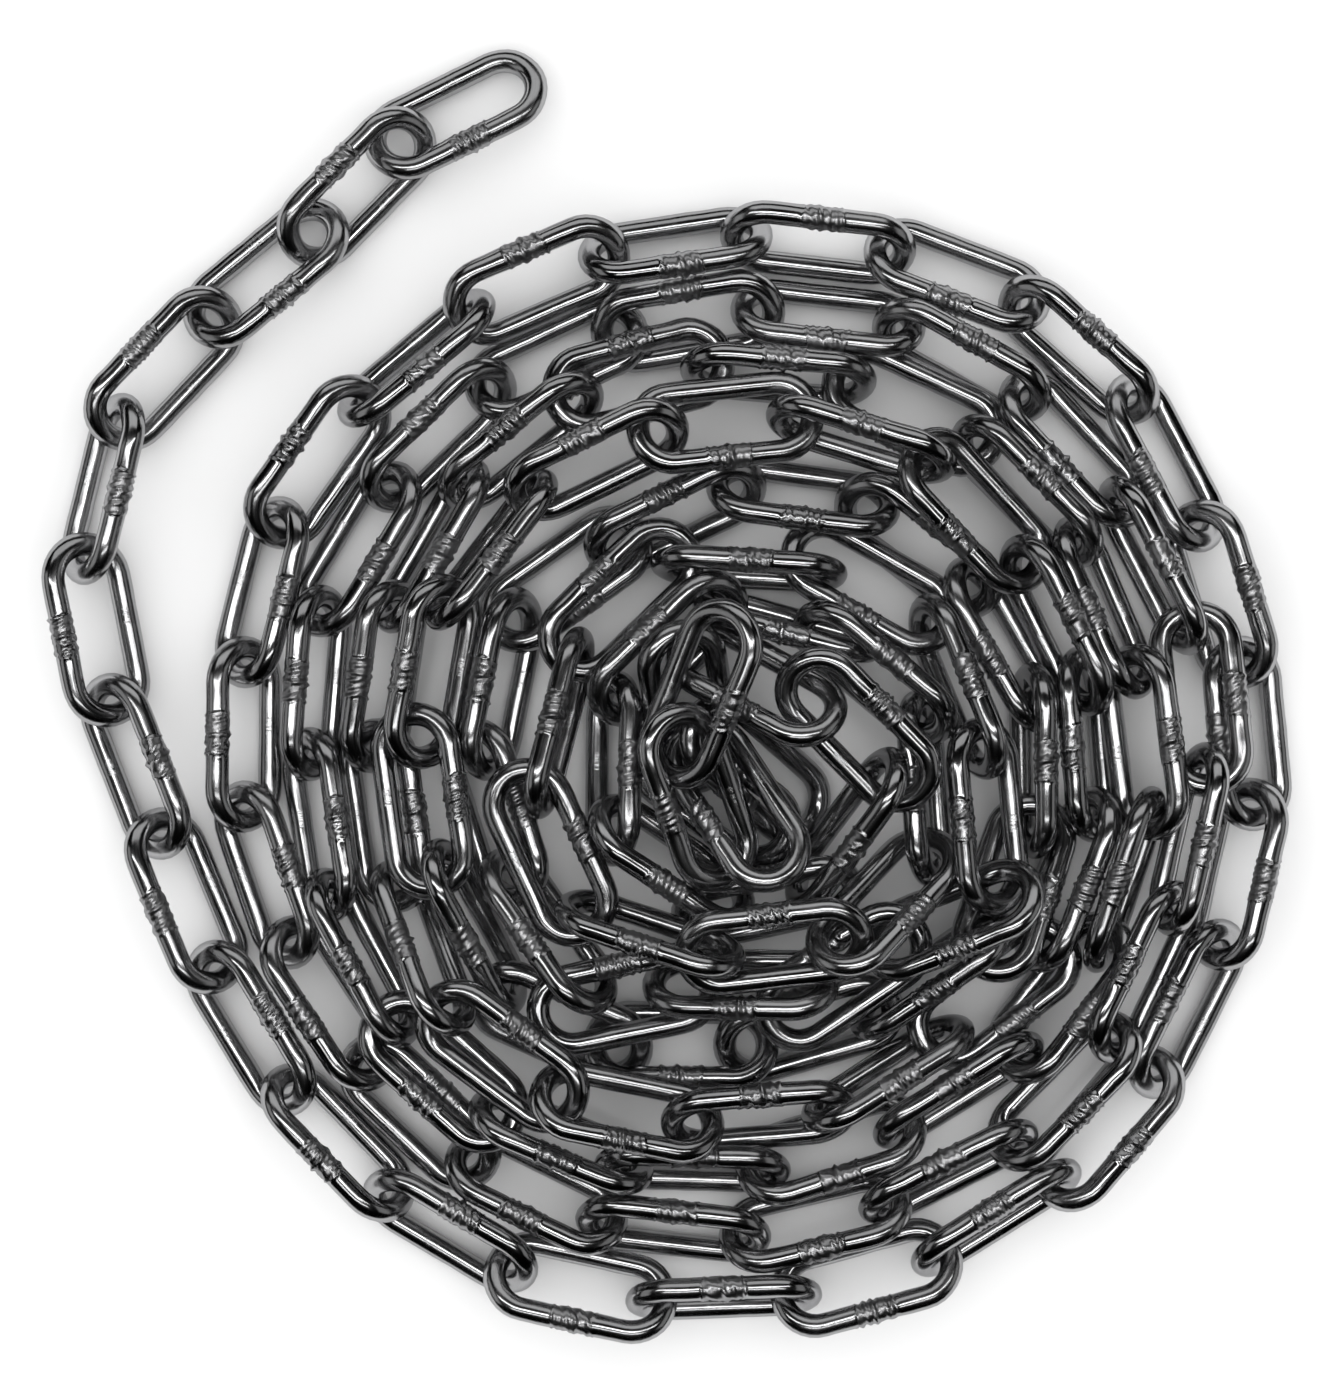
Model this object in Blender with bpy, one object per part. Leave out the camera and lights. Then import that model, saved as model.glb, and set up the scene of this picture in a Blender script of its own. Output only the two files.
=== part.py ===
"""Steel chain laid down as a flat spiral heap, with one straight tail.

One long chain of straight-sided welded links. Its free end lies in a short
tail, which runs into the outer turn. The turns wind inwards and climb a
little over each other, and the chain ends in a small jumble in the middle.

Metres, +Z up. The origin is on the floor, under the middle of the heap. The
top view with +Y upwards is the view that the route was read from, so a pixel
of that view has one place on the floor.
"""

import math

import bmesh
import bpy
import numpy as np
from mathutils import Matrix, Vector

MM = 0.001

# Driving dimensions of one link, in millimetres: long-link chain of 8 mm wire.
WIRE = 8.0
LINK_LENGTH = 68.0
LINK_WIDTH = 32.0
CLEARANCE = 0.3

# The solid wire is six-sided, and its corners stand just outside the round wire.
SOLID_RADIUS = 4.2
ARC_CHORDS = 4

# Scale of the top view, and the place in it that lies over the middle.
MM_PER_PIXEL = 0.345
MIDDLE_PX = (671.0, 692.0)

# The tail's joints, from the free end to where the outer turn starts.
TAIL_PX = (
    (517, 79), (405, 135), (322, 225), (218, 310), (122, 408), (85, 550), (107, 690),
)

# The coil's centre and its radius every 30 degrees, counter-clockwise from 180.
COIL_CENTRE_PX = (755.0, 770.0)
FIRST_KNOT_DEG = 180.0
KNOT_STEP_DEG = 30.0
OUTER_TURN_PX = (600, 560, 566, 530, 520, 510, 515, 539, 557, 547, 543, 549)
SECOND_TURN_PX = (512, 497, 489, 476, 459, 443, 454, 466, 487, 487, 481, 466)
THIRD_TURN_PX = (446, 443, 427, 407, 394, 400, 393, 394, 416, 410, 414, 401)
FOURTH_TURN_PX = (390, 374, 372, 345, 321, 351, 345, 343, 356, 349, 352, 351)
FIFTH_TURN_PX = (323, 322, 310, 284, 280, 304, 305, 292, 295, 283, 266, 286)
SIXTH_TURN_START_PX = (262, 258)

# Where each of those turns starts, and how many links lie in it.
TURN_START_DEG = (184.5, 544.3, 897.3, 1255.0, 1610.8, 1970.0)
TURN_LINKS = (23, 20, 18, 16, 14)

# Joints of the tight and uneven turns inside, and of the jumble in the middle.
INNER_PX = (
    (495, 722), (520, 857), (562, 968), (660, 984), (764, 1001), (882, 942),
    (1002, 889), (998, 760), (935, 626), (838, 578), (698, 562), (590, 642),
    (552, 773), (590, 893), (695, 935), (806, 942), (935, 867), (944, 720),
    (868, 646), (728, 600), (617, 696), (598, 832), (703, 900), (813, 890),
    (912, 775),
)
JUMBLE_PX = (
    (815, 683), (748, 662), (660, 790), (822, 802), (722, 738), (742, 842),
    (672, 745), (742, 655),
)

# How far each link leans over, read link by link: flat, wide, middle, edge, upright.
LEAN_DEG = {"f": 18.0, "w": 30.0, "m": 43.0, "e": 60.0, "v": 78.0}
TAIL_LEANS = "fmwwvfw"
OUTER_LEANS = "wwemfewewwwwwmmfewwvwww"
SECOND_LEANS = "meweemeweefvwmefwewe"
THIRD_LEANS = "ewweeweweweefemwve"
FOURTH_LEANS = "wemweeweewwefwvw"
FIFTH_LEANS = "weeweeweewvewwvewe"
INNER_LEANS = "ewfewvwevevwvwvwvewvw"

# The heap climbs inwards by this much a link: first link number, rise in mm.
CLIMB = ((1, 0.0), (20, 1.1), (98, 2.2), (116, 4.0), (122, 22.0))
START_HEIGHT = 13.0

# Contact: no two wires' middle lines come nearer than this.
NEAREST = 2.0 * SOLID_RADIUS + CLEARANCE
HALF_STRAIGHT = (LINK_LENGTH - LINK_WIDTH) / 2.0
BEND_RADIUS = (LINK_WIDTH - WIRE) / 2.0
HALF_LINE = HALF_STRAIGHT + BEND_RADIUS

# How a link's weight resists turning about its own axes, for a unit weight.
TURN_WEIGHTS = (107.0, 390.0, 500.0)

# The passes that let the chain down: steps, drop, pull to the route, pull to the lean.
PASSES = (
    (200, 0.0, 0.0, 0.0),
    (2600, 0.03, 0.01, 0.04),
    (600, 0.012, 0.005, 0.02),
    (700, 0.0, 0.0, 0.0),
)
MOST_SHIFT = 1.5
MOST_TURN = 0.08
LOOK_AGAIN = 8

# Nodes: the first links are single, and the others are joined in short runs.
SINGLE_LINKS = 14
RUN_LENGTH = 3
PAD_RADIUS = 1.6
NODE_NAMES = (
    (1, "tail"), (8, "outer_turn"), (31, "second_turn"), (51, "third_turn"),
    (69, "fourth_turn"), (85, "fifth_turn"), (99, "sixth_turn"),
    (111, "seventh_turn"), (119, "eighth_turn"), (124, "middle_jumble"),
)

STEEL_COLOUR = (0.56, 0.56, 0.57, 1.0)
STEEL_ROUGHNESS = 0.24


def unit(vector):
    """The vector at length one."""
    return vector / np.linalg.norm(vector)


def knot_radius(radii, place):
    """Smooth radius at a place between knots, by a Catmull-Rom curve."""
    last = len(radii) - 1
    knot = min(max(int(math.floor(place)), 0), last - 1)
    part = place - knot
    before = radii[max(knot - 1, 0)]
    here = radii[knot]
    after = radii[knot + 1]
    beyond = radii[min(knot + 2, last)]
    slope = (after - before) * part
    bend = (2 * before - 5 * here + 4 * after - beyond) * part**2
    twist = (3 * here - before - 3 * after + beyond) * part**3
    return 0.5 * (2 * here + slope + bend + twist)


def coil_point(angle_deg):
    """Pixel of the coil's middle line at a running angle."""
    turns = OUTER_TURN_PX + SECOND_TURN_PX + THIRD_TURN_PX + FOURTH_TURN_PX
    radii = turns + FIFTH_TURN_PX + SIXTH_TURN_START_PX
    radius = knot_radius(radii, (angle_deg - FIRST_KNOT_DEG) / KNOT_STEP_DEG)
    angle = math.radians(angle_deg)
    across = COIL_CENTRE_PX[0] + radius * math.cos(angle)
    return across, COIL_CENTRE_PX[1] - radius * math.sin(angle)


def turn_joints(start_deg, end_deg, links):
    """Joints spaced evenly along one turn, without the last one."""
    angles = np.linspace(start_deg, end_deg, 40 * links + 1)
    fine = np.array([coil_point(angle) for angle in angles])
    steps = np.hypot(*np.diff(fine, axis=0).T)
    run = np.concatenate(([0.0], np.cumsum(steps)))
    marks = np.linspace(0.0, run[-1], links + 1)[:-1]
    across = np.interp(marks, run, fine[:, 0])
    down = np.interp(marks, run, fine[:, 1])
    return list(zip(across, down))


def joint_points():
    """All joints of the chain in millimetres, from the free end inwards."""
    joints = list(TAIL_PX)
    for turn, links in enumerate(TURN_LINKS):
        joints += turn_joints(TURN_START_DEG[turn], TURN_START_DEG[turn + 1], links)
    joints += list(INNER_PX) + list(JUMBLE_PX)
    flat = np.array(joints, float)
    across = (flat[:, 0] - MIDDLE_PX[0]) * MM_PER_PIXEL
    along = (MIDDLE_PX[1] - flat[:, 1]) * MM_PER_PIXEL
    heights = [START_HEIGHT]
    for number in range(1, len(flat)):
        rise = [step for first, step in CLIMB if first <= number][-1]
        heights.append(heights[-1] + rise)
    return np.column_stack((across, along, heights))


def link_outline():
    """Middle line of one link in its own plane, as a closed ring of points."""
    points = []
    for end in (1.0, -1.0):
        for chord in range(ARC_CHORDS + 1):
            angle = -math.pi / 2 + math.pi * chord / ARC_CHORDS
            along = end * (HALF_STRAIGHT + BEND_RADIUS * math.cos(angle))
            points.append((along, end * BEND_RADIUS * math.sin(angle), 0.0))
    return np.array(points)


OUTLINE = link_outline()


def outline_at(places, frames):
    """The outline of each link where it lies: links by points by 3."""
    return places[:, None, :] + np.einsum("nij,kj->nki", frames, OUTLINE)


def closest_points(start_a, along_a, start_b, along_b):
    """Closest points of pairs of straight pieces of wire, row by row."""
    between = start_a - start_b
    len_a = (along_a * along_a).sum(1)
    len_b = (along_b * along_b).sum(1)
    shared = (along_a * along_b).sum(1)
    on_a = (along_a * between).sum(1)
    on_b = (along_b * between).sum(1)
    spread = len_a * len_b - shared * shared
    safe = np.maximum(spread, 1e-9)
    part_a = np.clip((shared * on_b - on_a * len_b) / safe, 0.0, 1.0)
    part_a = np.where(spread > 1e-9, part_a, 0.5)
    part_b = np.clip((shared * part_a + on_b) / len_b, 0.0, 1.0)
    part_a = np.clip((shared * part_b - on_a) / len_a, 0.0, 1.0)
    point_a = start_a + along_a * part_a[:, None]
    point_b = start_b + along_b * part_b[:, None]
    return point_a, point_b


def nearest_pair(place_a, frame_a, place_b, frame_b):
    """The two points where two links' middle lines come nearest."""
    ring_a = outline_at(place_a[None], frame_a[None])[0]
    ring_b = outline_at(place_b[None], frame_b[None])[0]
    count = len(OUTLINE)
    piece_a, piece_b = np.divmod(np.arange(count * count), count)
    along_a = np.roll(ring_a, -1, axis=0) - ring_a
    along_b = np.roll(ring_b, -1, axis=0) - ring_b
    point_a, point_b = closest_points(
        ring_a[piece_a], along_a[piece_a], ring_b[piece_b], along_b[piece_b]
    )
    best = int(np.linalg.norm(point_a - point_b, axis=1).argmin())
    return point_a[best], point_b[best]


def passes_through(place_a, frame_a, place_b, frame_b):
    """Whether link b goes through the hole of link a: an odd count of crossings."""
    ring = (outline_at(place_b[None], frame_b[None])[0] - place_a) @ frame_a
    following = np.roll(ring, -1, axis=0)
    crossing = ring[:, 2] * following[:, 2] < 0.0
    part = ring[crossing, 2] / (ring[crossing, 2] - following[crossing, 2])
    hits = ring[crossing] + (following[crossing] - ring[crossing]) * part[:, None]
    beyond = np.maximum(np.abs(hits[:, 0]) - HALF_STRAIGHT, 0.0)
    return int((np.hypot(beyond, hits[:, 1]) < BEND_RADIUS).sum()) % 2 == 1


def leaning_frame(direction, lean):
    """Axes of a link that points one way and leans over by an angle."""
    side = unit(np.cross((0.0, 0.0, 1.0), direction))
    top = np.cross(direction, side)
    across = side * math.cos(lean) + top * math.sin(lean)
    return np.stack((direction, across, np.cross(direction, across)), axis=1)


def threaded_frame(places, frames, place, direction):
    """Axes of a link at a sharp corner: it goes through the last link's hole, and keeps clearest of the last two."""
    chosen = leaning_frame(direction, 0.0)
    clearest = -1.0
    for degrees in range(0, 180, 10):
        frame = leaning_frame(direction, math.radians(degrees))
        if not passes_through(places[-1], frames[-1], place, frame):
            continue
        clear = min(
            float(np.linalg.norm(np.subtract(*nearest_pair(other, axes, place, frame))))
            for other, axes in zip(places[-2:], frames[-2:])
        )
        if clear > clearest:
            clearest = clear
            chosen = frame
    return chosen


def start_pose():
    """Each link strung on its joints in the air, already through its neighbours."""
    joints = joint_points()
    leans = TAIL_LEANS + OUTER_LEANS + SECOND_LEANS + THIRD_LEANS
    leans += FOURTH_LEANS + FIFTH_LEANS + INNER_LEANS
    places = []
    frames = []
    last_reach = 0.0
    for index, (joint, following) in enumerate(zip(joints, joints[1:])):
        gap = float(np.linalg.norm(following - joint))
        direction = (following - joint) / gap
        reach = min(max((2 * HALF_LINE - gap) / 2, NEAREST / 2), BEND_RADIUS)
        if not places:
            tip = joint - reach * direction
            ahead = 1.0
        else:
            last_along, _, last_normal = frames[-1].T
            ahead = float((last_along * direction).sum())
            turned = float((last_normal * direction).sum())
            back = unit(max(ahead, 0.3) * last_along + turned * last_normal)
            overlap = NEAREST + (2 * last_reach - NEAREST) * max(0.0, ahead) ** 2
            tip = places[-1] + HALF_LINE * last_along - overlap * back
        direction = unit(following - tip)
        place = tip + HALF_LINE * direction
        if ahead > 0.88:
            lean = math.radians(LEAN_DEG[(leans + "m")[min(index, len(leans))]])
            frame = leaning_frame(direction, lean if index % 2 == 0 else -lean)
        else:
            frame = threaded_frame(places, frames, place, direction)
        places.append(place)
        frames.append(frame)
        last_reach = reach
    return np.array(places), np.array(frames), len(leans)


def near_pieces(rings, places, reach):
    """Pairs of straight pieces of different links that could soon touch."""
    first, second = np.triu_indices(len(rings), 1)
    apart = np.linalg.norm(places[first] - places[second], axis=1)
    near = apart < 2 * HALF_LINE + reach
    first = first[near]
    second = second[near]
    following = np.roll(rings, -1, axis=1)
    middles = (rings + following) / 2
    halves = np.linalg.norm(following - rings, axis=2) / 2
    spans = middles[first][:, :, None, :] - middles[second][:, None, :, :]
    limit = halves[first][:, :, None] + halves[second][:, None, :] + reach
    pair, piece_a, piece_b = np.nonzero(np.linalg.norm(spans, axis=3) < limit)
    return first[pair], second[pair], piece_a, piece_b


def share_out(who, amounts, count):
    """Sum of each link's corrections, divided by nearly their number."""
    tally = np.maximum(np.bincount(who, minlength=count), 1)[:, None] ** 0.75
    sums = [np.bincount(who, amounts[:, axis], count) for axis in range(3)]
    return np.stack(sums, axis=1) / tally * 1.3


def limited(steps, most):
    """The steps, none of them longer than the most allowed."""
    size = np.linalg.norm(steps, axis=1, keepdims=True)
    return steps * np.minimum(1.0, most / np.maximum(size, 1e-9))


def wire_contacts(places, frames, pairs):
    """Shifts and turns that push apart wires that are too near each other."""
    first, second, piece_a, piece_b = pairs
    rings = outline_at(places, frames)
    along = np.roll(rings, -1, axis=1) - rings
    point_a, point_b = closest_points(
        rings[first, piece_a], along[first, piece_a],
        rings[second, piece_b], along[second, piece_b],
    )
    apart = point_a - point_b
    distance = np.linalg.norm(apart, axis=1)
    close = distance < NEAREST
    first = first[close]
    second = second[close]
    normal = apart[close] / np.maximum(distance[close], 1e-6)[:, None]
    depth = NEAREST - distance[close]
    weight = np.einsum("nij,j,nkj->nik", frames, 1.0 / np.array(TURN_WEIGHTS), frames)
    lever_a = np.cross(point_a[close] - places[first], normal)
    lever_b = np.cross(point_b[close] - places[second], normal)
    turn_a = np.einsum("nij,nj->ni", weight[first], lever_a)
    turn_b = np.einsum("nij,nj->ni", weight[second], lever_b)
    stiff = 2.0 + (lever_a * turn_a).sum(1) + (lever_b * turn_b).sum(1)
    push = (depth / stiff)[:, None]
    who = np.concatenate((first, second))
    shifts = np.concatenate((normal * push, -normal * push))
    turns = np.concatenate((turn_a * push, -turn_b * push))
    return who, shifts, turns


def floor_contacts(places, frames):
    """Shifts and turns that lift wires out of the floor."""
    points = outline_at(places, frames).reshape(-1, 3)
    low = points[:, 2] < SOLID_RADIUS
    who = np.nonzero(low)[0] // len(OUTLINE)
    upward = np.zeros((len(who), 3))
    upward[:, 2] = 1.0
    weight = np.einsum("nij,j,nkj->nik", frames, 1.0 / np.array(TURN_WEIGHTS), frames)
    lever = np.cross(points[low] - places[who], upward)
    turn = np.einsum("nij,nj->ni", weight[who], lever)
    stiff = 1.0 + (lever * turn).sum(1)
    push = ((SOLID_RADIUS - points[low, 2]) / stiff)[:, None]
    return who, upward * push, turn * push


def turned(frames, turns):
    """The frames after small turns, squared up again."""
    moved = frames + np.cross(turns[:, None, :], frames.transpose(0, 2, 1)).transpose(0, 2, 1)
    along = moved[:, :, 0] / np.linalg.norm(moved[:, :, 0], axis=1, keepdims=True)
    overlap = (moved[:, :, 1] * along).sum(1, keepdims=True)
    across = moved[:, :, 1] - overlap * along
    across /= np.linalg.norm(across, axis=1, keepdims=True)
    return np.stack((along, across, np.cross(along, across)), axis=2)


def lay_down(places, frames, leaning):
    """Lets the strung chain down until every wire rests clear of the others."""
    count = len(places)
    route = places.copy()
    wanted = frames.copy()
    for steps, drop, to_route, to_lean in PASSES:
        for step in range(steps):
            if step % LOOK_AGAIN == 0:
                places = np.round(places, 6)
                frames = np.round(frames, 8)
                pairs = near_pieces(outline_at(places, frames), places, NEAREST + 4.0)
            places = places.copy()
            places[:, 2] -= drop * (1.0 + places[:, 2] / 30.0)
            places[:, :2] += to_route * (route[:, :2] - places[:, :2])
            wires = wire_contacts(places, frames, pairs)
            floor = floor_contacts(places, frames)
            who = np.concatenate((wires[0], floor[0]))
            shifts = share_out(who, np.concatenate((wires[1], floor[1])), count)
            turns = share_out(who, np.concatenate((wires[2], floor[2])), count)
            lean = np.cross(frames.transpose(0, 2, 1), wanted.transpose(0, 2, 1)).sum(1) / 2
            lean[leaning:] = 0.0
            places = places + limited(shifts, MOST_SHIFT)
            frames = turned(frames, limited(turns, MOST_TURN) + to_lean * lean)
    return places, frames


def new_collection(name):
    """An empty collection in the scene."""
    collection = bpy.data.collections.new(name)
    bpy.context.scene.collection.children.link(collection)
    return collection


def steel(name):
    """Bright steel for one node."""
    material = bpy.data.materials.new(name)
    material.use_nodes = True
    shader = material.node_tree.nodes["Principled BSDF"]
    shader.inputs["Base Color"].default_value = STEEL_COLOUR
    shader.inputs["Metallic"].default_value = 1.0
    shader.inputs["Roughness"].default_value = STEEL_ROUGHNESS
    return material


def link_mesh():
    """Mesh of one link: a closed wire along the outline, six-sided."""
    curve = bpy.data.curves.new("link_path", "CURVE")
    curve.dimensions = "3D"
    curve.bevel_depth = SOLID_RADIUS * MM
    curve.bevel_resolution = 1
    curve.use_fill_caps = True
    spline = curve.splines.new("POLY")
    spline.points.add(len(OUTLINE) - 1)
    for point, (across, along, up) in zip(spline.points, OUTLINE * MM):
        point.co = (across, along, up, 1.0)
    spline.use_cyclic_u = True
    guide = bpy.data.objects.new("link_path", curve)
    bpy.context.scene.collection.objects.link(guide)
    graph = bpy.context.evaluated_depsgraph_get()
    mesh = bpy.data.meshes.new_from_object(guide.evaluated_get(graph))
    mesh.transform(guide.matrix_world)
    shape = bmesh.new()
    shape.from_mesh(mesh)
    bmesh.ops.remove_doubles(shape, verts=shape.verts, dist=0.00001)
    bmesh.ops.recalc_face_normals(shape, faces=shape.faces)
    shape.to_mesh(mesh)
    shape.free()
    mesh.name = "link"
    mesh.shade_smooth()
    bpy.data.objects.remove(guide)
    bpy.data.curves.remove(curve)
    return mesh


def pad_mesh():
    """Short six-sided pad of unit length, centred, along Z."""
    shape = bmesh.new()
    bmesh.ops.create_cone(
        shape, cap_ends=True, segments=6, radius1=PAD_RADIUS * MM,
        radius2=PAD_RADIUS * MM, depth=1.0,
    )
    mesh = bpy.data.meshes.new("pad")
    shape.to_mesh(mesh)
    shape.free()
    return mesh


def link_matrix(place, frame):
    """Placement of one link, in metres."""
    matrix = Matrix(frame.tolist()).to_4x4()
    matrix.translation = Vector((place * MM).tolist())
    return matrix


def hidden(name, mesh, matrix, collection):
    """A piece that only serves to be joined to a node."""
    piece = bpy.data.objects.new(name, mesh)
    piece.matrix_world = matrix
    piece.hide_render = True
    piece.display_type = "WIRE"
    collection.objects.link(piece)
    return piece


def join(node, piece):
    """Adds a piece to a node by a Boolean union."""
    union = node.modifiers.new(piece.name, "BOOLEAN")
    union.operation = "UNION"
    union.solver = "EXACT"
    union.object = piece


def add_run(name, numbers, poses, meshes, collections):
    """One node of one link, or of a few neighbours joined where they touch."""
    places, frames = poses
    link, pad = meshes
    heap, joining = collections
    first = numbers[0]
    node = bpy.data.objects.new(name, link)
    node.matrix_world = link_matrix(places[first], frames[first])
    heap.objects.link(node)
    for number in numbers[1:]:
        ends = nearest_pair(
            places[number - 1], frames[number - 1], places[number], frames[number]
        )
        start = Vector((ends[0] * MM).tolist())
        end = Vector((ends[1] * MM).tolist())
        span = end - start
        turn = Vector((0.0, 0.0, 1.0)).rotation_difference(span)
        stretch = Matrix.Diagonal((1.0, 1.0, span.length, 1.0))
        matrix = Matrix.Translation((start + end) / 2) @ turn.to_matrix().to_4x4() @ stretch
        label = f"{name}_{number + 1}"
        join(node, hidden(f"pad_{label}", pad, matrix, joining))
        matrix = link_matrix(places[number], frames[number])
        join(node, hidden(f"link_{label}", link, matrix, joining))
    return node


def node_name(numbers):
    """Name of a node from its turn and its link numbers."""
    first = numbers[0] + 1
    last = numbers[-1] + 1
    turn = [name for start, name in NODE_NAMES if start <= first][-1]
    if first == last:
        return f"{turn}_link_{first:03d}"
    return f"{turn}_links_{first:03d}_{last:03d}"


def centred(places, frames, mesh):
    """The places, moved so that the heap's box stands centred on the floor."""
    corners = np.array([vertex.co for vertex in mesh.vertices]) / MM
    reach = places[:, None, :] + np.einsum("nij,kj->nki", frames, corners)
    low = reach.reshape(-1, 3).min(axis=0)
    high = reach.reshape(-1, 3).max(axis=0)
    middle = (low + high) / 2
    middle[2] = low[2]
    return places - middle


def main():
    """Builds the whole heap."""
    for thing in list(bpy.data.objects):
        bpy.data.objects.remove(thing)
    heap = new_collection("heap_of_steel_chain")
    joining = new_collection("joining_pieces")
    joining.hide_render = True
    link = link_mesh()
    pad = pad_mesh()
    places, frames = lay_down(*start_pose())
    places = centred(places, frames, link)
    count = len(places)
    runs = [[number] for number in range(SINGLE_LINKS)]
    for first in range(SINGLE_LINKS, count, RUN_LENGTH):
        runs.append(list(range(first, min(first + RUN_LENGTH, count))))
    for numbers in runs:
        name = node_name(numbers)
        node = add_run(name, numbers, (places, frames), (link, pad), (heap, joining))
        node.data = link.copy()
        node.data.name = name
        node.data.materials.clear()
        node.data.materials.append(steel(name))


main()
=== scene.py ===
"""Looks of a heap of steel chain: a flat spiral of welded links with a tail.

Every link is a round wire bent to a straight-sided ring and welded shut in the
middle of one side. The frame's own faces say where each link lies, so a link
here is fitted to its solid there. Metres, +Z up, the heap stands on z = 0.
"""

import itertools
import logging
import math
import re
from dataclasses import dataclass, field
from enum import Enum

import bpy
import numpy as np
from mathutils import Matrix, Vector


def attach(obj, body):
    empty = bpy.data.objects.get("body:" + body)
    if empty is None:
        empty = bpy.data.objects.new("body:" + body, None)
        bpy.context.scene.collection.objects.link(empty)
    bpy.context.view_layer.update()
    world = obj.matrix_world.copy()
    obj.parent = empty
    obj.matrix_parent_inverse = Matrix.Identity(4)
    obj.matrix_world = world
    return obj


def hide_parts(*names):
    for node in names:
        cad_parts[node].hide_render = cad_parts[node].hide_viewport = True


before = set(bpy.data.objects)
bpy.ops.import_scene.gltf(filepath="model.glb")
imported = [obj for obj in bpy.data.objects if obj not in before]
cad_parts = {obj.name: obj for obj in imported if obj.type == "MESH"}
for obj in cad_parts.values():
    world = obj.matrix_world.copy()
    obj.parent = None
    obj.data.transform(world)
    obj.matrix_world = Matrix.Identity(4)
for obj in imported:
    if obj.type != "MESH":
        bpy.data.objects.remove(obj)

MM = 0.001
log = logging.getLogger("chain_heap")


class WeldSide(Enum):
    """The side of a link that carries its weld, as the link lies."""

    UPPER = 1.0
    LOWER = -1.0


@dataclass(frozen=True)
class LinkSizes:
    """Sizes of one link, and of the plainer solid that the frame has for it."""

    half_straight: float = 18.0 * MM
    bend_radius: float = 12.0 * MM
    wire_radius: float = 4.0 * MM
    solid_radius: float = 4.2 * MM
    solid_chords: int = 4
    solid_sides: int = 6

    @property
    def perimeter(self) -> float:
        """Length of the middle line all the way round."""
        return 4.0 * self.half_straight + 2.0 * math.pi * self.bend_radius

    def middle_line(self, run: np.ndarray) -> tuple[np.ndarray, np.ndarray]:
        """Points of the middle line and the directions that face out of the ring.

        The line is a circle of the bend radius whose centre slides to and fro: on
        a straight side the centre moves and the angle rests, and in a bend the
        angle turns and the centre rests. It starts in the middle of the side that
        lies at +Y.

        Args:
            run: Distance along the line of each point.

        Returns:
            Points and outward directions, each as rows of three numbers.
        """
        bend = math.pi * self.bend_radius
        stages = np.array((1.0, 0.0, 2.0, 0.0, 1.0)) * self.half_straight
        stages[[1, 3]] = bend
        starts = np.concatenate(([0.0], np.cumsum(stages)[:-1]))
        parts = np.clip(run[:, None] - starts, 0.0, stages)
        angle = math.pi / 2 + (parts[:, 1] + parts[:, 3]) / self.bend_radius
        outward = np.column_stack((np.cos(angle), np.sin(angle), np.zeros(len(run))))
        points = self.bend_radius * outward
        points[:, 0] += parts[:, 2] - parts[:, 0] - parts[:, 4]
        return points, outward

    def solid_corners(self) -> np.ndarray:
        """Corners of the frame's solid of a link, in the link's own axes.

        The solid is a wire with flat sides along a ring of straight chords. Its
        corners stand at even angles round each joint of two chords, in the plane
        that halves the joint.

        Returns:
            The corners as rows of three numbers.
        """
        turns = np.linspace(-math.pi / 2, math.pi / 2, self.solid_chords + 1)
        half = np.column_stack((np.cos(turns), np.sin(turns))) * self.bend_radius
        half[:, 0] += self.half_straight
        ring = np.concatenate((half, -half))
        step = np.roll(ring, -1, axis=0) - ring
        facing = np.column_stack((step[:, 1], -step[:, 0]))
        facing /= np.linalg.norm(facing, axis=1, keepdims=True)
        facing += np.roll(facing, 1, axis=0)
        facing /= np.linalg.norm(facing, axis=1, keepdims=True)
        around = np.arange(self.solid_sides) * 2.0 * math.pi / self.solid_sides
        flat = ring[:, None, :] + self.solid_radius * np.cos(around)[:, None] * facing[:, None, :]
        rise = np.broadcast_to(self.solid_radius * np.sin(around), flat.shape[:2])
        return np.concatenate((flat, rise[..., None]), axis=2).reshape(-1, 3)


@dataclass(frozen=True)
class LinkPlace:
    """Where a link lies: its middle, and its own X, Y and Z axes as columns."""

    middle: np.ndarray
    axes: np.ndarray

    def to_own(self, points: np.ndarray) -> np.ndarray:
        """Points of the scene in the link's own axes."""
        return (points - self.middle) @ self.axes

    def to_scene(self, points: np.ndarray) -> np.ndarray:
        """Points in the link's own axes, where they lie in the scene."""
        return points @ self.axes.T + self.middle

    def facing(self, onward: np.ndarray, weld: WeldSide) -> "LinkPlace":
        """The same place with its axes put in order.

        Args:
            onward: Direction of the chain here, which +X follows.
            weld: The side that +Y takes, the upper or the lower one.

        Returns:
            The place, with +Y on the side of the weld.
        """
        along = self.axes[:, 0] * math.copysign(1.0, float(self.axes[:, 0] @ onward))
        across = self.axes[:, 1] * math.copysign(weld.value, float(self.axes[2, 1]))
        axes = np.column_stack((along, across, np.cross(along, across)))
        return LinkPlace(self.middle, axes)


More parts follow.
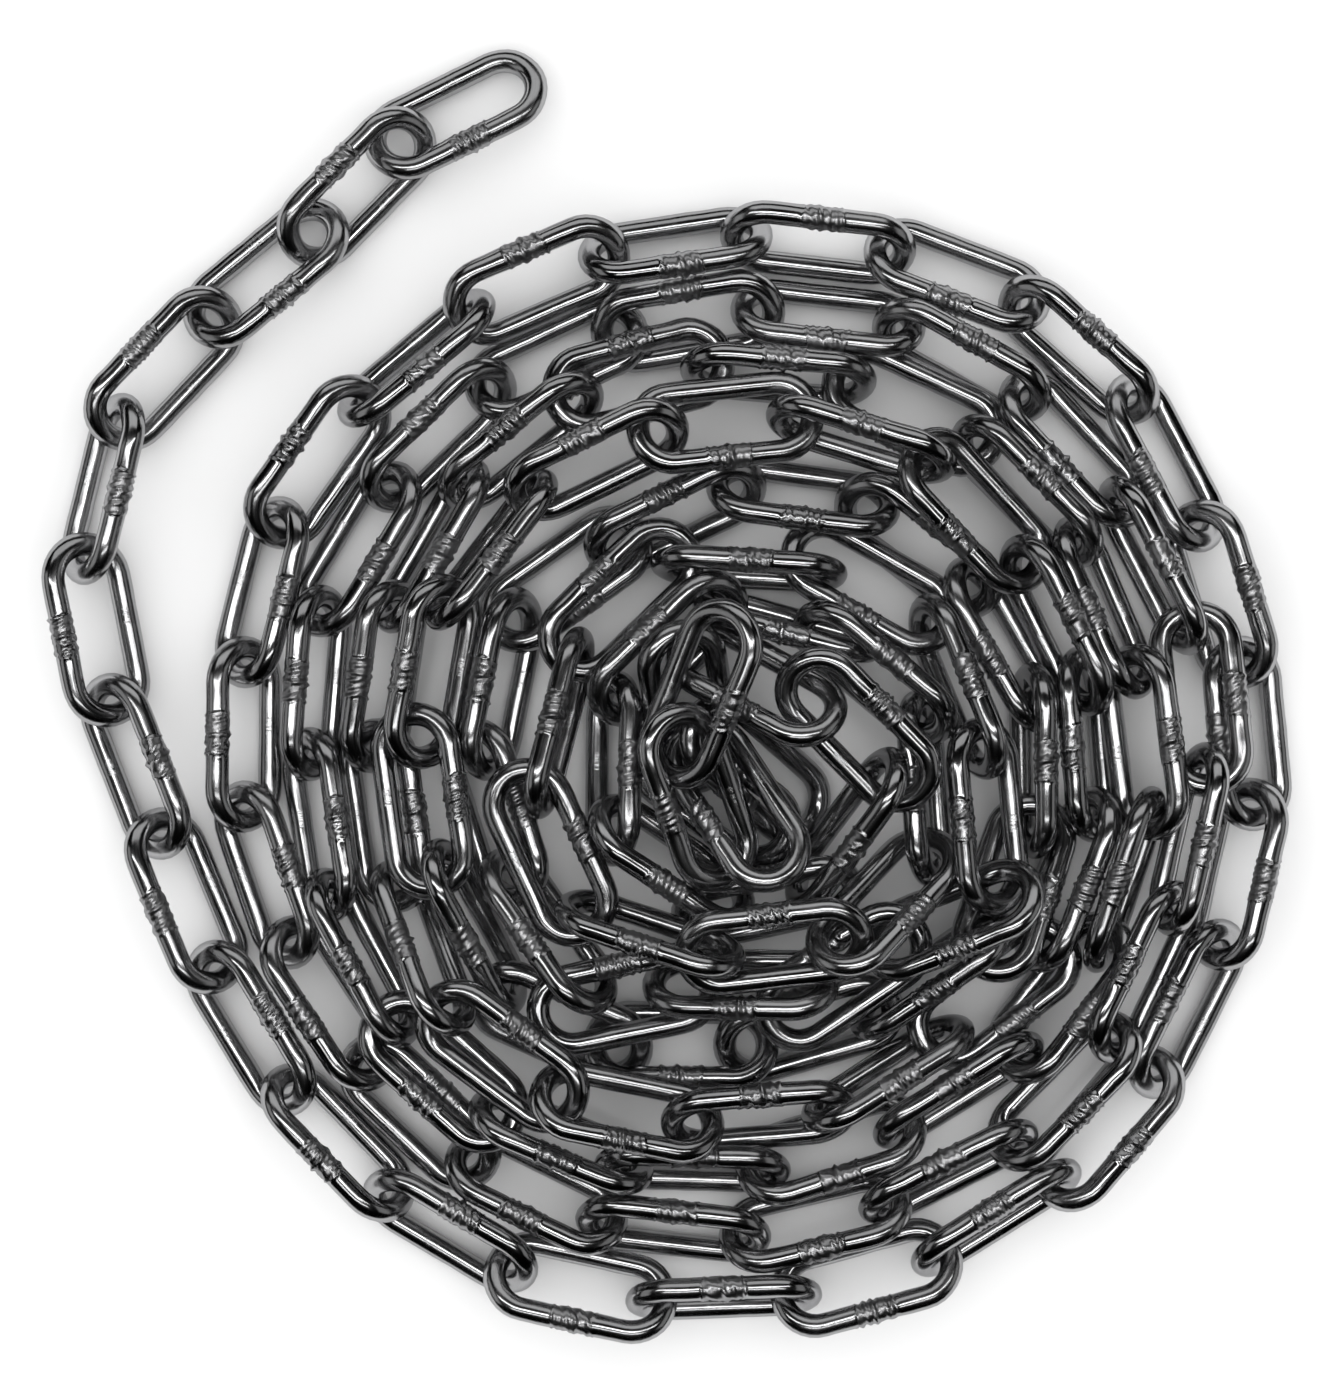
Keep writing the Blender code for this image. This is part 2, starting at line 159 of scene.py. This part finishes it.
@dataclass(frozen=True)
class FrameReader:
    """Finds the links in the faces of a node of the frame."""

    sizes: LinkSizes
    same_turn: float = 1e-5
    same_plane: float = 0.03 * MM
    first_reach: float = 1.2 * MM
    last_reach: float = 0.1 * MM

    def faces(self, node: bpy.types.Object) -> np.ndarray:
        """Corners of a node's triangles, as faces by corners by three."""
        mesh = node.data
        points = np.empty(len(mesh.vertices) * 3, np.float32)
        mesh.vertices.foreach_get("co", points)
        mesh.calc_loop_triangles()
        corners = np.empty(len(mesh.loop_triangles) * 3, np.int32)
        mesh.loop_triangles.foreach_get("vertices", corners)
        return points.reshape(-1, 3).astype(float)[corners.reshape(-1, 3)]

    def links(self, node: bpy.types.Object, count: int) -> list[LinkPlace]:
        """Places of all the links in one node.

        Each link's solid has two flat sides that run all the way round it, one
        above and one below its middle line. They are the largest sets of faces in
        one plane. Half-way between the two lies the link's middle, and the long
        way of the two is its X axis.

        Args:
            node: The node's object.
            count: How many links it holds.

        Returns:
            One place a link, in no set order.
        """
        faces = self.faces(node)
        normals = np.cross(faces[:, 1] - faces[:, 0], faces[:, 2] - faces[:, 0])
        doubled = np.linalg.norm(normals, axis=1)
        faces, normals, doubled = (item[doubled > 1e-12] for item in (faces, normals, doubled))
        normals /= doubled[:, None]
        height = (normals * faces[:, 0]).sum(1)
        thick = math.sqrt(3.0) * self.sizes.solid_radius
        turn = normals @ normals.T
        level = turn > 1.0 - self.same_turn
        level &= np.abs(height[:, None] - height) < self.same_plane
        matched = turn < -1.0 + self.same_turn
        matched &= np.abs(height[:, None] + height - thick) < self.same_plane
        free = np.ones(len(faces), bool)
        found = []
        for _ in range(count):
            share = doubled * free
            score = np.minimum(level @ share, matched @ share) * free
            best = int(score.argmax())
            chosen = (level[best] | matched[best]) & free
            free &= ~chosen
            rough = self.rough_place(faces[chosen], doubled[chosen], normals[best])
            found.append(self.fitted(rough, np.unique(faces.reshape(-1, 3), axis=0)))
        return found

    def rough_place(self, faces: np.ndarray, share: np.ndarray, normal: np.ndarray) -> LinkPlace:
        """Place of a link from its two flat sides.

        Args:
            faces: Corners of the triangles of both sides.
            share: Weight of each triangle, as its size.
            normal: Direction that one of the sides faces.

        Returns:
            The weighted middle, with the X axis along the widest spread.
        """
        weight = np.repeat(share, 3)
        points = faces.reshape(-1, 3)
        middle = np.average(points, axis=0, weights=weight)
        spread = points - middle
        spread -= np.outer(spread @ normal, normal)
        _, _, ways = np.linalg.svd(spread * np.sqrt(weight)[:, None], full_matrices=False)
        along = ways[0]
        return LinkPlace(middle, np.column_stack((along, np.cross(normal, along), normal)))

    def fitted(self, place: LinkPlace, points: np.ndarray) -> LinkPlace:
        """Place that lays the solid's known corners best on the node's points.

        Each corner is paired with the node's point next to it, and the turn that
        brings the pairs together is the one of least squares, from the singular
        vectors of their shared spread. It runs again with closer pairs.

        Args:
            place: The place to start from.
            points: All corners of the node.

        Returns:
            The fitted place.
        """
        corners = self.sizes.solid_corners()
        for reach in np.geomspace(self.first_reach, self.last_reach, 4):
            own = place.to_own(points)
            apart = np.linalg.norm(own[:, None, :] - corners, axis=2)
            nearest = apart.argmin(axis=1)
            paired = apart[np.arange(len(own)), nearest] < reach
            here = points[paired]
            there = corners[nearest[paired]]
            spread = (here - here.mean(0)).T @ (there - there.mean(0))
            left, _, right = np.linalg.svd(spread)
            sign = np.diag((1.0, 1.0, np.linalg.det(left @ right)))
            axes = left @ sign @ right
            place = LinkPlace(here.mean(0) - axes @ there.mean(0), axes)
        return place


@dataclass(frozen=True)
class Weld:
    """Relief of the weld: two upset edges, a lumpy bead between them, small pits."""

    half_length: float = 7.0 * MM
    edge: float = 0.35 * MM
    edge_wander: float = 0.7 * MM
    swell: float = 0.12 * MM
    lip: float = 0.30 * MM
    bead: float = 0.38 * MM
    bead_width: float = 1.1 * MM
    lumps: float = 0.16 * MM
    waves: int = 16

    def mask(self, run: np.ndarray, angle: np.ndarray, seed: int) -> np.ndarray:
        """One in the weld and nought outside it, with an edge that wanders.

        Args:
            run: Distance from the weld's middle, along the wire.
            angle: Angle round the wire.
            seed: The link's number.

        Returns:
            The mask, by the shape that run and angle make together.
        """
        first, second = np.random.default_rng(seed).uniform(0.0, 2.0 * math.pi, 2)
        ahead = self.half_length + self.edge_wander * np.cos(angle + first)
        behind = self.half_length + self.edge_wander * np.cos(2.0 * angle + second)
        rising = np.tanh((run + behind) / self.edge)
        falling = np.tanh((run - ahead) / self.edge)
        return 0.5 * (rising - falling)

    def relief(self, run: np.ndarray, angle: np.ndarray, seed: int) -> np.ndarray:
        """Height over the plain wire.

        The weld stands a little proud inside its mask. A lip follows each edge of
        the mask, where the mask is half-way. The bead is a bell curve across the
        middle. Lumps are a sum of waves that run along and whole times round the
        wire, each with a random phase.

        Args:
            run: Distance from the weld's middle, along the wire.
            angle: Angle round the wire.
            seed: The link's number.

        Returns:
            Heights in metres.
        """
        random = np.random.default_rng(seed + 500)
        mask = self.mask(run, angle, seed)
        centre = random.uniform(-1.0, 1.0) * 1.5 * MM + 0.6 * MM * np.cos(angle + random.uniform(0.0, 6.0))
        bell = np.exp(-(((run - centre) / self.bead_width) ** 2))
        pitch = random.uniform(0.7, 3.2, self.waves) / MM
        whole = random.integers(0, 7, self.waves)
        phase = random.uniform(0.0, 2.0 * math.pi, self.waves)
        waves = np.cos(run[..., None] * pitch + angle[..., None] * whole + phase).sum(-1)
        waves *= math.sqrt(2.0 / self.waves)
        lips = 4.0 * mask * (1.0 - mask)
        height = mask * (self.swell + self.lumps * waves)
        height += self.lip * lips * (0.6 + 0.5 * waves)
        height += self.bead * bell * (0.8 + 0.4 * waves)
        return height


@dataclass(frozen=True)
class WireSurface:
    """Surface of one link: a round wire carried along the ring of its middle line."""

    sizes: LinkSizes
    weld: Weld
    columns: int = 28
    weld_step: float = 0.45 * MM
    weld_reach: float = 9.0 * MM
    bend_rows: int = 16
    side_rows: int = 6
    wobble: float = 0.025 * MM

    def rows(self) -> np.ndarray:
        """Distances along the middle line at which the surface has a row.

        Rows stand close in the weld, evenly in each bend, and far apart on the
        straight stretches.
        """
        half = self.sizes.half_straight
        bend = math.pi * self.sizes.bend_radius
        near = np.arange(0.0, self.weld_reach, self.weld_step)
        rest = np.linspace(self.weld_reach, half, 4)[:-1]
        first = half + np.linspace(0.0, bend, self.bend_rows, endpoint=False)
        plain = half + bend + np.linspace(0.0, 2.0 * half, self.side_rows, endpoint=False)
        outgoing = np.concatenate((near, rest, first, plain))
        start = self.sizes.perimeter
        second = start - half - np.linspace(bend, 0.0, self.bend_rows, endpoint=False)
        back = start - np.concatenate((near[1:], rest, [half]))[::-1]
        return np.unique(np.concatenate((outgoing, second, back)).round(9))

    def grid(self, seed: int) -> tuple[np.ndarray, np.ndarray, np.ndarray]:
        """Surface of a link in its own axes.

        A point is the middle line's point, plus the wire's radius in the direction
        that turns from the outward way to the link's Z axis as the angle goes
        round. The radius has the weld's relief and a slow wobble of waves added.

        Args:
            seed: The link's number.

        Returns:
            Points as rows by columns by three, the pattern's coordinates in the
            same shape (distance along the wire, then the place in its round
            section), and the weld's mask as rows by columns.
        """
        rows = self.rows()
        angle = np.linspace(0.0, 2.0 * math.pi, self.columns, endpoint=False)
        run, around = np.meshgrid(rows, angle, indexing="ij")
        line, outward = self.sizes.middle_line(rows)
        length = self.sizes.perimeter
        signed = (run + length / 2.0) % length - length / 2.0
        random = np.random.default_rng(seed + 9000)
        pitch = 2.0 * math.pi * random.integers(2, 16, 8) / length
        whole = random.integers(0, 3, 8)
        phase = random.uniform(0.0, 2.0 * math.pi, 8)
        waves = np.cos(run[..., None] * pitch + around[..., None] * whole + phase).sum(-1)
        radius = self.sizes.wire_radius + self.wobble * waves
        radius += self.weld.relief(signed, around, seed)
        section = np.stack((np.cos(around), np.sin(around)), axis=-1)
        points = line[:, None, :] + (radius * section[..., 0])[..., None] * outward[:, None, :]
        points[..., 2] += radius * section[..., 1]
        pattern = np.concatenate(((signed + seed)[..., None], self.sizes.wire_radius * section), axis=2)
        return points, pattern, self.weld.mask(signed, around, seed)

    def quads(self) -> np.ndarray:
        """Faces of one link's closed grid, each as four point numbers."""
        rows = len(self.rows())
        row, column = np.meshgrid(np.arange(rows), np.arange(self.columns), indexing="ij")
        below = (row + 1) % rows
        beside = (column + 1) % self.columns
        corners = ((row, column), (below, column), (below, beside), (row, beside))
        return np.stack([r * self.columns + c for r, c in corners], axis=-1).reshape(-1, 4)


@dataclass
class NodeBoard:
    """A material's node tree, with short ways to add and join nodes."""

    tree: bpy.types.NodeTree

    def add(self, kind: str, values: dict[str, object] | None = None, **settings: object) -> bpy.types.Node:
        """Adds a node.

        Args:
            kind: Blender's name of the node, without its ShaderNode start.
            values: What goes into each input: a number, a colour or an output.
            settings: The node's own properties.

        Returns:
            The node.
        """
        node = self.tree.nodes.new("ShaderNode" + kind)
        for name, value in settings.items():
            setattr(node, name, value)
        for name, value in (values or {}).items():
            socket = node.inputs[name]
            if isinstance(value, bpy.types.NodeSocket):
                self.tree.links.new(value, socket)
            else:
                socket.default_value = value
        return node

    def noise(self, where: bpy.types.NodeSocket, stretch: tuple[float, float, float], detail: float) -> bpy.types.NodeSocket:
        """Noise on coordinates that are first stretched along each axis.

        Args:
            where: The coordinates.
            stretch: Features a metre along each axis.
            detail: Finer layers that are added.

        Returns:
            The noise's value, about one half on average.
        """
        scaled = self.add("Mapping", {"Vector": where, "Scale": stretch})
        noise = self.add("TexNoise", {"Vector": scaled.outputs[0], "Scale": 1.0, "Detail": detail})
        return noise.outputs["Fac"]

    def spread(self, value: bpy.types.NodeSocket, source: tuple[float, float], target: tuple[float, float]) -> bpy.types.NodeSocket:
        """A value moved from one range to another, and held inside it."""
        spans = {"From Min": source[0], "From Max": source[1], "To Min": target[0], "To Max": target[1]}
        return self.add("MapRange", {"Value": value, **spans}).outputs[0]

    def math(self, operation: str, first: object, second: object) -> bpy.types.NodeSocket:
        """Sum, product or other operation on two values."""
        node = self.add("Math", operation=operation)
        for socket, value in zip(node.inputs, (first, second)):
            if isinstance(value, bpy.types.NodeSocket):
                self.tree.links.new(value, socket)
            else:
                socket.default_value = value
        return node.outputs[0]


@dataclass(frozen=True)
class BrightSteel:
    """Finish of the wire: drawn bright steel with rougher, darker welds."""

    dark: tuple[float, float, float, float] = (0.30, 0.30, 0.305, 1.0)
    light: tuple[float, float, float, float] = (0.43, 0.43, 0.435, 1.0)
    smooth: float = 0.12
    rough: float = 0.26
    weld_rough: float = 0.10
    edge_tint: tuple[float, float, float, float] = (0.62, 0.62, 0.63, 1.0)

    def material(self) -> bpy.types.Material:
        """The finish as a material that reads the wire's own coordinates."""
        material = bpy.data.materials.new("bright_steel")
        material.use_nodes = True
        board = NodeBoard(material.node_tree)
        shader = material.node_tree.nodes["Principled BSDF"]
        wire = board.add("Attribute", attribute_name="wire").outputs["Vector"]
        weld = board.add("Attribute", attribute_name="weld").outputs["Fac"]
        tone = board.add("Attribute", attribute_name="tone").outputs["Fac"]
        drawn = board.noise(wire, (14.0, 1500.0, 1500.0), 3.0)
        smudge = board.noise(wire, (60.0, 120.0, 120.0), 2.0)
        grit = board.noise(wire, (900.0, 900.0, 900.0), 3.0)
        dents = board.noise(wire, (130.0, 230.0, 230.0), 1.0)
        shade = board.math("ADD", board.math("MULTIPLY", drawn, 0.45), board.math("MULTIPLY", smudge, 0.45))
        shade = board.math("ADD", shade, board.math("MULTIPLY", tone, 0.12))
        shade = board.math("SUBTRACT", shade, board.math("MULTIPLY", weld, 0.14))
        colour = board.add("Mix", data_type="RGBA")
        mix = board.spread(shade, (0.25, 0.68), (0.0, 1.0))
        material.node_tree.links.new(mix, colour.inputs[0])
        colour.inputs[6].default_value = self.dark
        colour.inputs[7].default_value = self.light
        gloss = board.math("ADD", board.math("MULTIPLY", smudge, 0.6), board.math("MULTIPLY", drawn, 0.4))
        gloss = board.spread(gloss, (0.32, 0.68), (self.smooth, self.rough))
        gloss = board.math("ADD", gloss, board.math("MULTIPLY", weld, self.weld_rough))
        relief = board.math("MULTIPLY", drawn, 0.10)
        relief = board.math("ADD", relief, board.math("MULTIPLY", dents, 0.9))
        rough_weld = board.math("MULTIPLY", grit, board.math("MULTIPLY", weld, 0.5))
        relief = board.math("ADD", relief, rough_weld)
        bump = board.add("Bump", {"Height": relief, "Strength": 1.0, "Distance": 0.06 * MM})
        links = material.node_tree.links
        links.new(colour.outputs[2], shader.inputs["Base Color"])
        links.new(gloss, shader.inputs["Roughness"])
        links.new(bump.outputs["Normal"], shader.inputs["Normal"])
        shader.inputs["Metallic"].default_value = 1.0
        shader.inputs["Specular Tint"].default_value = self.edge_tint
        return material


@dataclass
class ChainHeap:
    """The chain, read from the frame and built as one piece a node."""

    surface: WireSurface
    finish: BrightSteel
    reader: FrameReader
    nodes: dict[str, bpy.types.Object]
    smooth_side_up: tuple[int, ...] = ()
    material: bpy.types.Material = field(init=False)

    def __post_init__(self) -> None:
        """Makes the one material that all links share."""
        self.material = self.finish.material()

    def numbers(self, name: str) -> list[int]:
        """Numbers of the links that a node holds, from its name."""
        found = [int(part) for part in re.findall(r"\d+", name)]
        return list(range(found[0], found[-1] + 1))

    def places(self) -> dict[int, LinkPlace]:
        """Each link's place by its number, read along the chain.

        The links of a node come in the order that keeps the way from the last
        link through them shortest. Then each is turned to follow its neighbours.
        """
        order = sorted(self.nodes, key=lambda name: self.numbers(name)[0])
        found: list[LinkPlace] = []
        for name in order:
            links = self.reader.links(self.nodes[name], len(self.numbers(name)))
            found += self.in_order(found[-1:], links)
        middles = np.array([place.middle for place in found])
        onward = np.gradient(middles, axis=0)
        turned = {}
        for index, place in enumerate(found):
            side = WeldSide.LOWER if index + 1 in self.smooth_side_up else WeldSide.UPPER
            turned[index + 1] = place.facing(onward[index], side)
        return turned

    def in_order(self, last: list[LinkPlace], links: list[LinkPlace]) -> list[LinkPlace]:
        """The links in the order of the shortest way through them.

        Args:
            last: The link before them, or nothing at the chain's start.
            links: The links of one node.

        Returns:
            The same links in order.
        """
        def way(chosen: tuple[LinkPlace, ...]) -> float:
            """Length of the way through the middles."""
            middles = np.array([place.middle for place in (*last, *chosen)])
            return float(np.linalg.norm(np.diff(middles, axis=0), axis=1).sum())

        return list(min(itertools.permutations(links), key=way))

    def piece(self, name: str, places: dict[int, LinkPlace]) -> bpy.types.Object:
        """One node's links as one object.

        Args:
            name: The node's name.
            places: Where each link lies, by its number.

        Returns:
            The object, at the origin with its place in its mesh.
        """
        numbers = self.numbers(name)
        grids = [self.surface.grid(number) for number in numbers]
        points = [places[number].to_scene(grid[0].reshape(-1, 3)) for number, grid in zip(numbers, grids)]
        patterns = [grid[1].reshape(-1, 3) for grid in grids]
        masks = [grid[2].ravel() for grid in grids]
        tones = [np.full(len(part), self.tone(number)) for number, part in zip(numbers, points)]
        quads = self.surface.quads()
        faces = np.concatenate([quads + index * len(points[0]) for index in range(len(numbers))])
        mesh = bpy.data.meshes.new(name + "_wire")
        mesh.vertices.add(sum(len(part) for part in points))
        mesh.vertices.foreach_set("co", np.concatenate(points).ravel())
        mesh.loops.add(faces.size)
        mesh.loops.foreach_set("vertex_index", faces.ravel())
        mesh.polygons.add(len(faces))
        mesh.polygons.foreach_set("loop_start", np.arange(len(faces)) * 4)
        mesh.update(calc_edges=True)
        mesh.shade_smooth()
        wire = mesh.attributes.new("wire", "FLOAT_VECTOR", "POINT")
        wire.data.foreach_set("vector", np.concatenate(patterns).ravel())
        for label, values in (("weld", masks), ("tone", tones)):
            layer = mesh.attributes.new(label, "FLOAT", "POINT")
            layer.data.foreach_set("value", np.concatenate(values))
        mesh.materials.append(self.material)
        piece = bpy.data.objects.new(name + "_wire", mesh)
        bpy.context.scene.collection.objects.link(piece)
        return piece

    def tone(self, number: int) -> float:
        """Lighter or darker steel from link to link, from nought to one."""
        return float(np.random.default_rng(number + 77).uniform())

    def build(self) -> None:
        """Builds every piece, and lets it stand for its node."""
        places = self.places()
        for name in sorted(self.nodes):
            piece = self.piece(name, places)
            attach(piece, "root")
            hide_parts(name)
            log.info("%s: %d links, %d faces", piece.name, len(self.numbers(name)), len(piece.data.polygons))


@dataclass(frozen=True)
class SoftPanel:
    """A flat studio light that faces one point."""

    name: str
    centre: tuple[float, float, float]
    size: tuple[float, float]
    brightness: float
    lights_floor: bool = False
    turn: float = 0.0

    def add(self) -> bpy.types.Object:
        """Hangs the light up, facing the heap."""
        data = bpy.data.lights.new(self.name, "AREA")
        data.shape = "RECTANGLE"
        data.size, data.size_y = self.size
        data.energy = self.brightness * math.pi * self.size[0] * self.size[1]
        light = bpy.data.objects.new(self.name, data)
        light.location = self.centre
        facing = (-Vector(self.centre)).to_track_quat("-Z", "Y")
        light.rotation_euler = facing.to_euler()
        light.rotation_euler.rotate_axis("Z", self.turn)
        light.visible_camera = False
        light.visible_diffuse = self.lights_floor
        bpy.context.scene.collection.objects.link(light)
        return light


@dataclass(frozen=True)
class Studio:
    """Pale floor, soft light all round, and the camera over the heap."""

    floor_size: float = 8.0
    floor_colour: tuple[float, float, float, float] = (0.88, 0.88, 0.88, 1.0)
    surround: float = 1.35
    camera_height: float = 1.15
    camera_over: tuple[float, float] = (0.0, 0.0)
    photo_width: float = 1342.0
    photo_height: float = 1384.0
    pixel: float = 0.345 * MM
    sharp_height: float = 14.0 * MM
    panels: tuple[SoftPanel, ...] = (
        SoftPanel("left_strip", (-0.34, 0.05, 1.55), (0.13, 1.5), 7.0),
        SoftPanel("right_strip", (0.26, 0.05, 1.60), (0.10, 1.5), 7.0),
        SoftPanel("near_strip", (0.0, -0.52, 1.45), (1.1, 0.12), 5.0),
        SoftPanel("far_panel", (0.0, 1.55, 1.25), (2.6, 1.1), 0.85),
        SoftPanel("side_panel", (-1.6, -0.2, 0.8), (1.4, 0.8), 0.45),
        SoftPanel("other_side_panel", (1.6, -0.2, 0.8), (1.4, 0.8), 0.35),
    )

    def floor(self) -> bpy.types.Object:
        """The plain pale floor, a flat grid under the heap."""
        half = self.floor_size / 2.0
        corners = [(-half, -half, 0.0), (half, -half, 0.0), (half, half, 0.0), (-half, half, 0.0)]
        mesh = bpy.data.meshes.new("floor")
        mesh.from_pydata(corners, [], [(0, 1, 2, 3)])
        material = bpy.data.materials.new("pale_floor")
        material.use_nodes = True
        shader = material.node_tree.nodes["Principled BSDF"]
        shader.inputs["Base Color"].default_value = self.floor_colour
        shader.inputs["Roughness"].default_value = 0.9
        shader.inputs["Specular IOR Level"].default_value = 0.1
        mesh.materials.append(material)
        floor = bpy.data.objects.new("floor", mesh)
        bpy.context.scene.collection.objects.link(floor)
        return floor

    def light(self) -> None:
        """Even light on the floor, and panels that the wire reflects."""
        world = bpy.data.worlds.new("studio")
        world.use_nodes = True
        background = world.node_tree.nodes["Background"]
        background.inputs["Color"].default_value = (1.0, 1.0, 1.0, 1.0)
        background.inputs["Strength"].default_value = self.surround
        world.cycles_visibility.glossy = False
        bpy.context.scene.world = world
        for panel in self.panels:
            panel.add()

    def camera(self) -> bpy.types.Object:
        """The camera straight over the heap, with the photo's top side at +Y.

        The lens is as long as the sensor's height times the distance, over the
        height of the floor that the frame takes in.
        """
        data = bpy.data.cameras.new("camera")
        data.sensor_fit = "VERTICAL"
        distance = self.camera_height - self.sharp_height
        data.lens = data.sensor_height * distance / (self.photo_height * self.pixel)
        data.clip_start = 0.05
        camera = bpy.data.objects.new("camera", data)
        camera.location = (*self.camera_over, self.camera_height)
        bpy.context.scene.collection.objects.link(camera)
        bpy.context.scene.camera = camera
        return camera

    def build(self) -> None:
        """Sets up the floor, the lights and the camera."""
        self.floor()
        self.light()
        self.camera()
        bpy.context.scene.view_settings.view_transform = "Standard"


def plain(box: tuple[Vector, Vector]) -> list[list[float]]:
    """A box as plain lists of numbers."""
    return [[float(value) for value in corner] for corner in box]


def main() -> None:
    """Builds the heap and its studio."""
    logging.basicConfig(level=logging.INFO)
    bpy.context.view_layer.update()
    sizes = LinkSizes()
    heap = ChainHeap(WireSurface(sizes, Weld()), BrightSteel(), FrameReader(sizes), dict(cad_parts))
    heap.build()
    Studio().build()


if __name__ == "__main__":
    main()
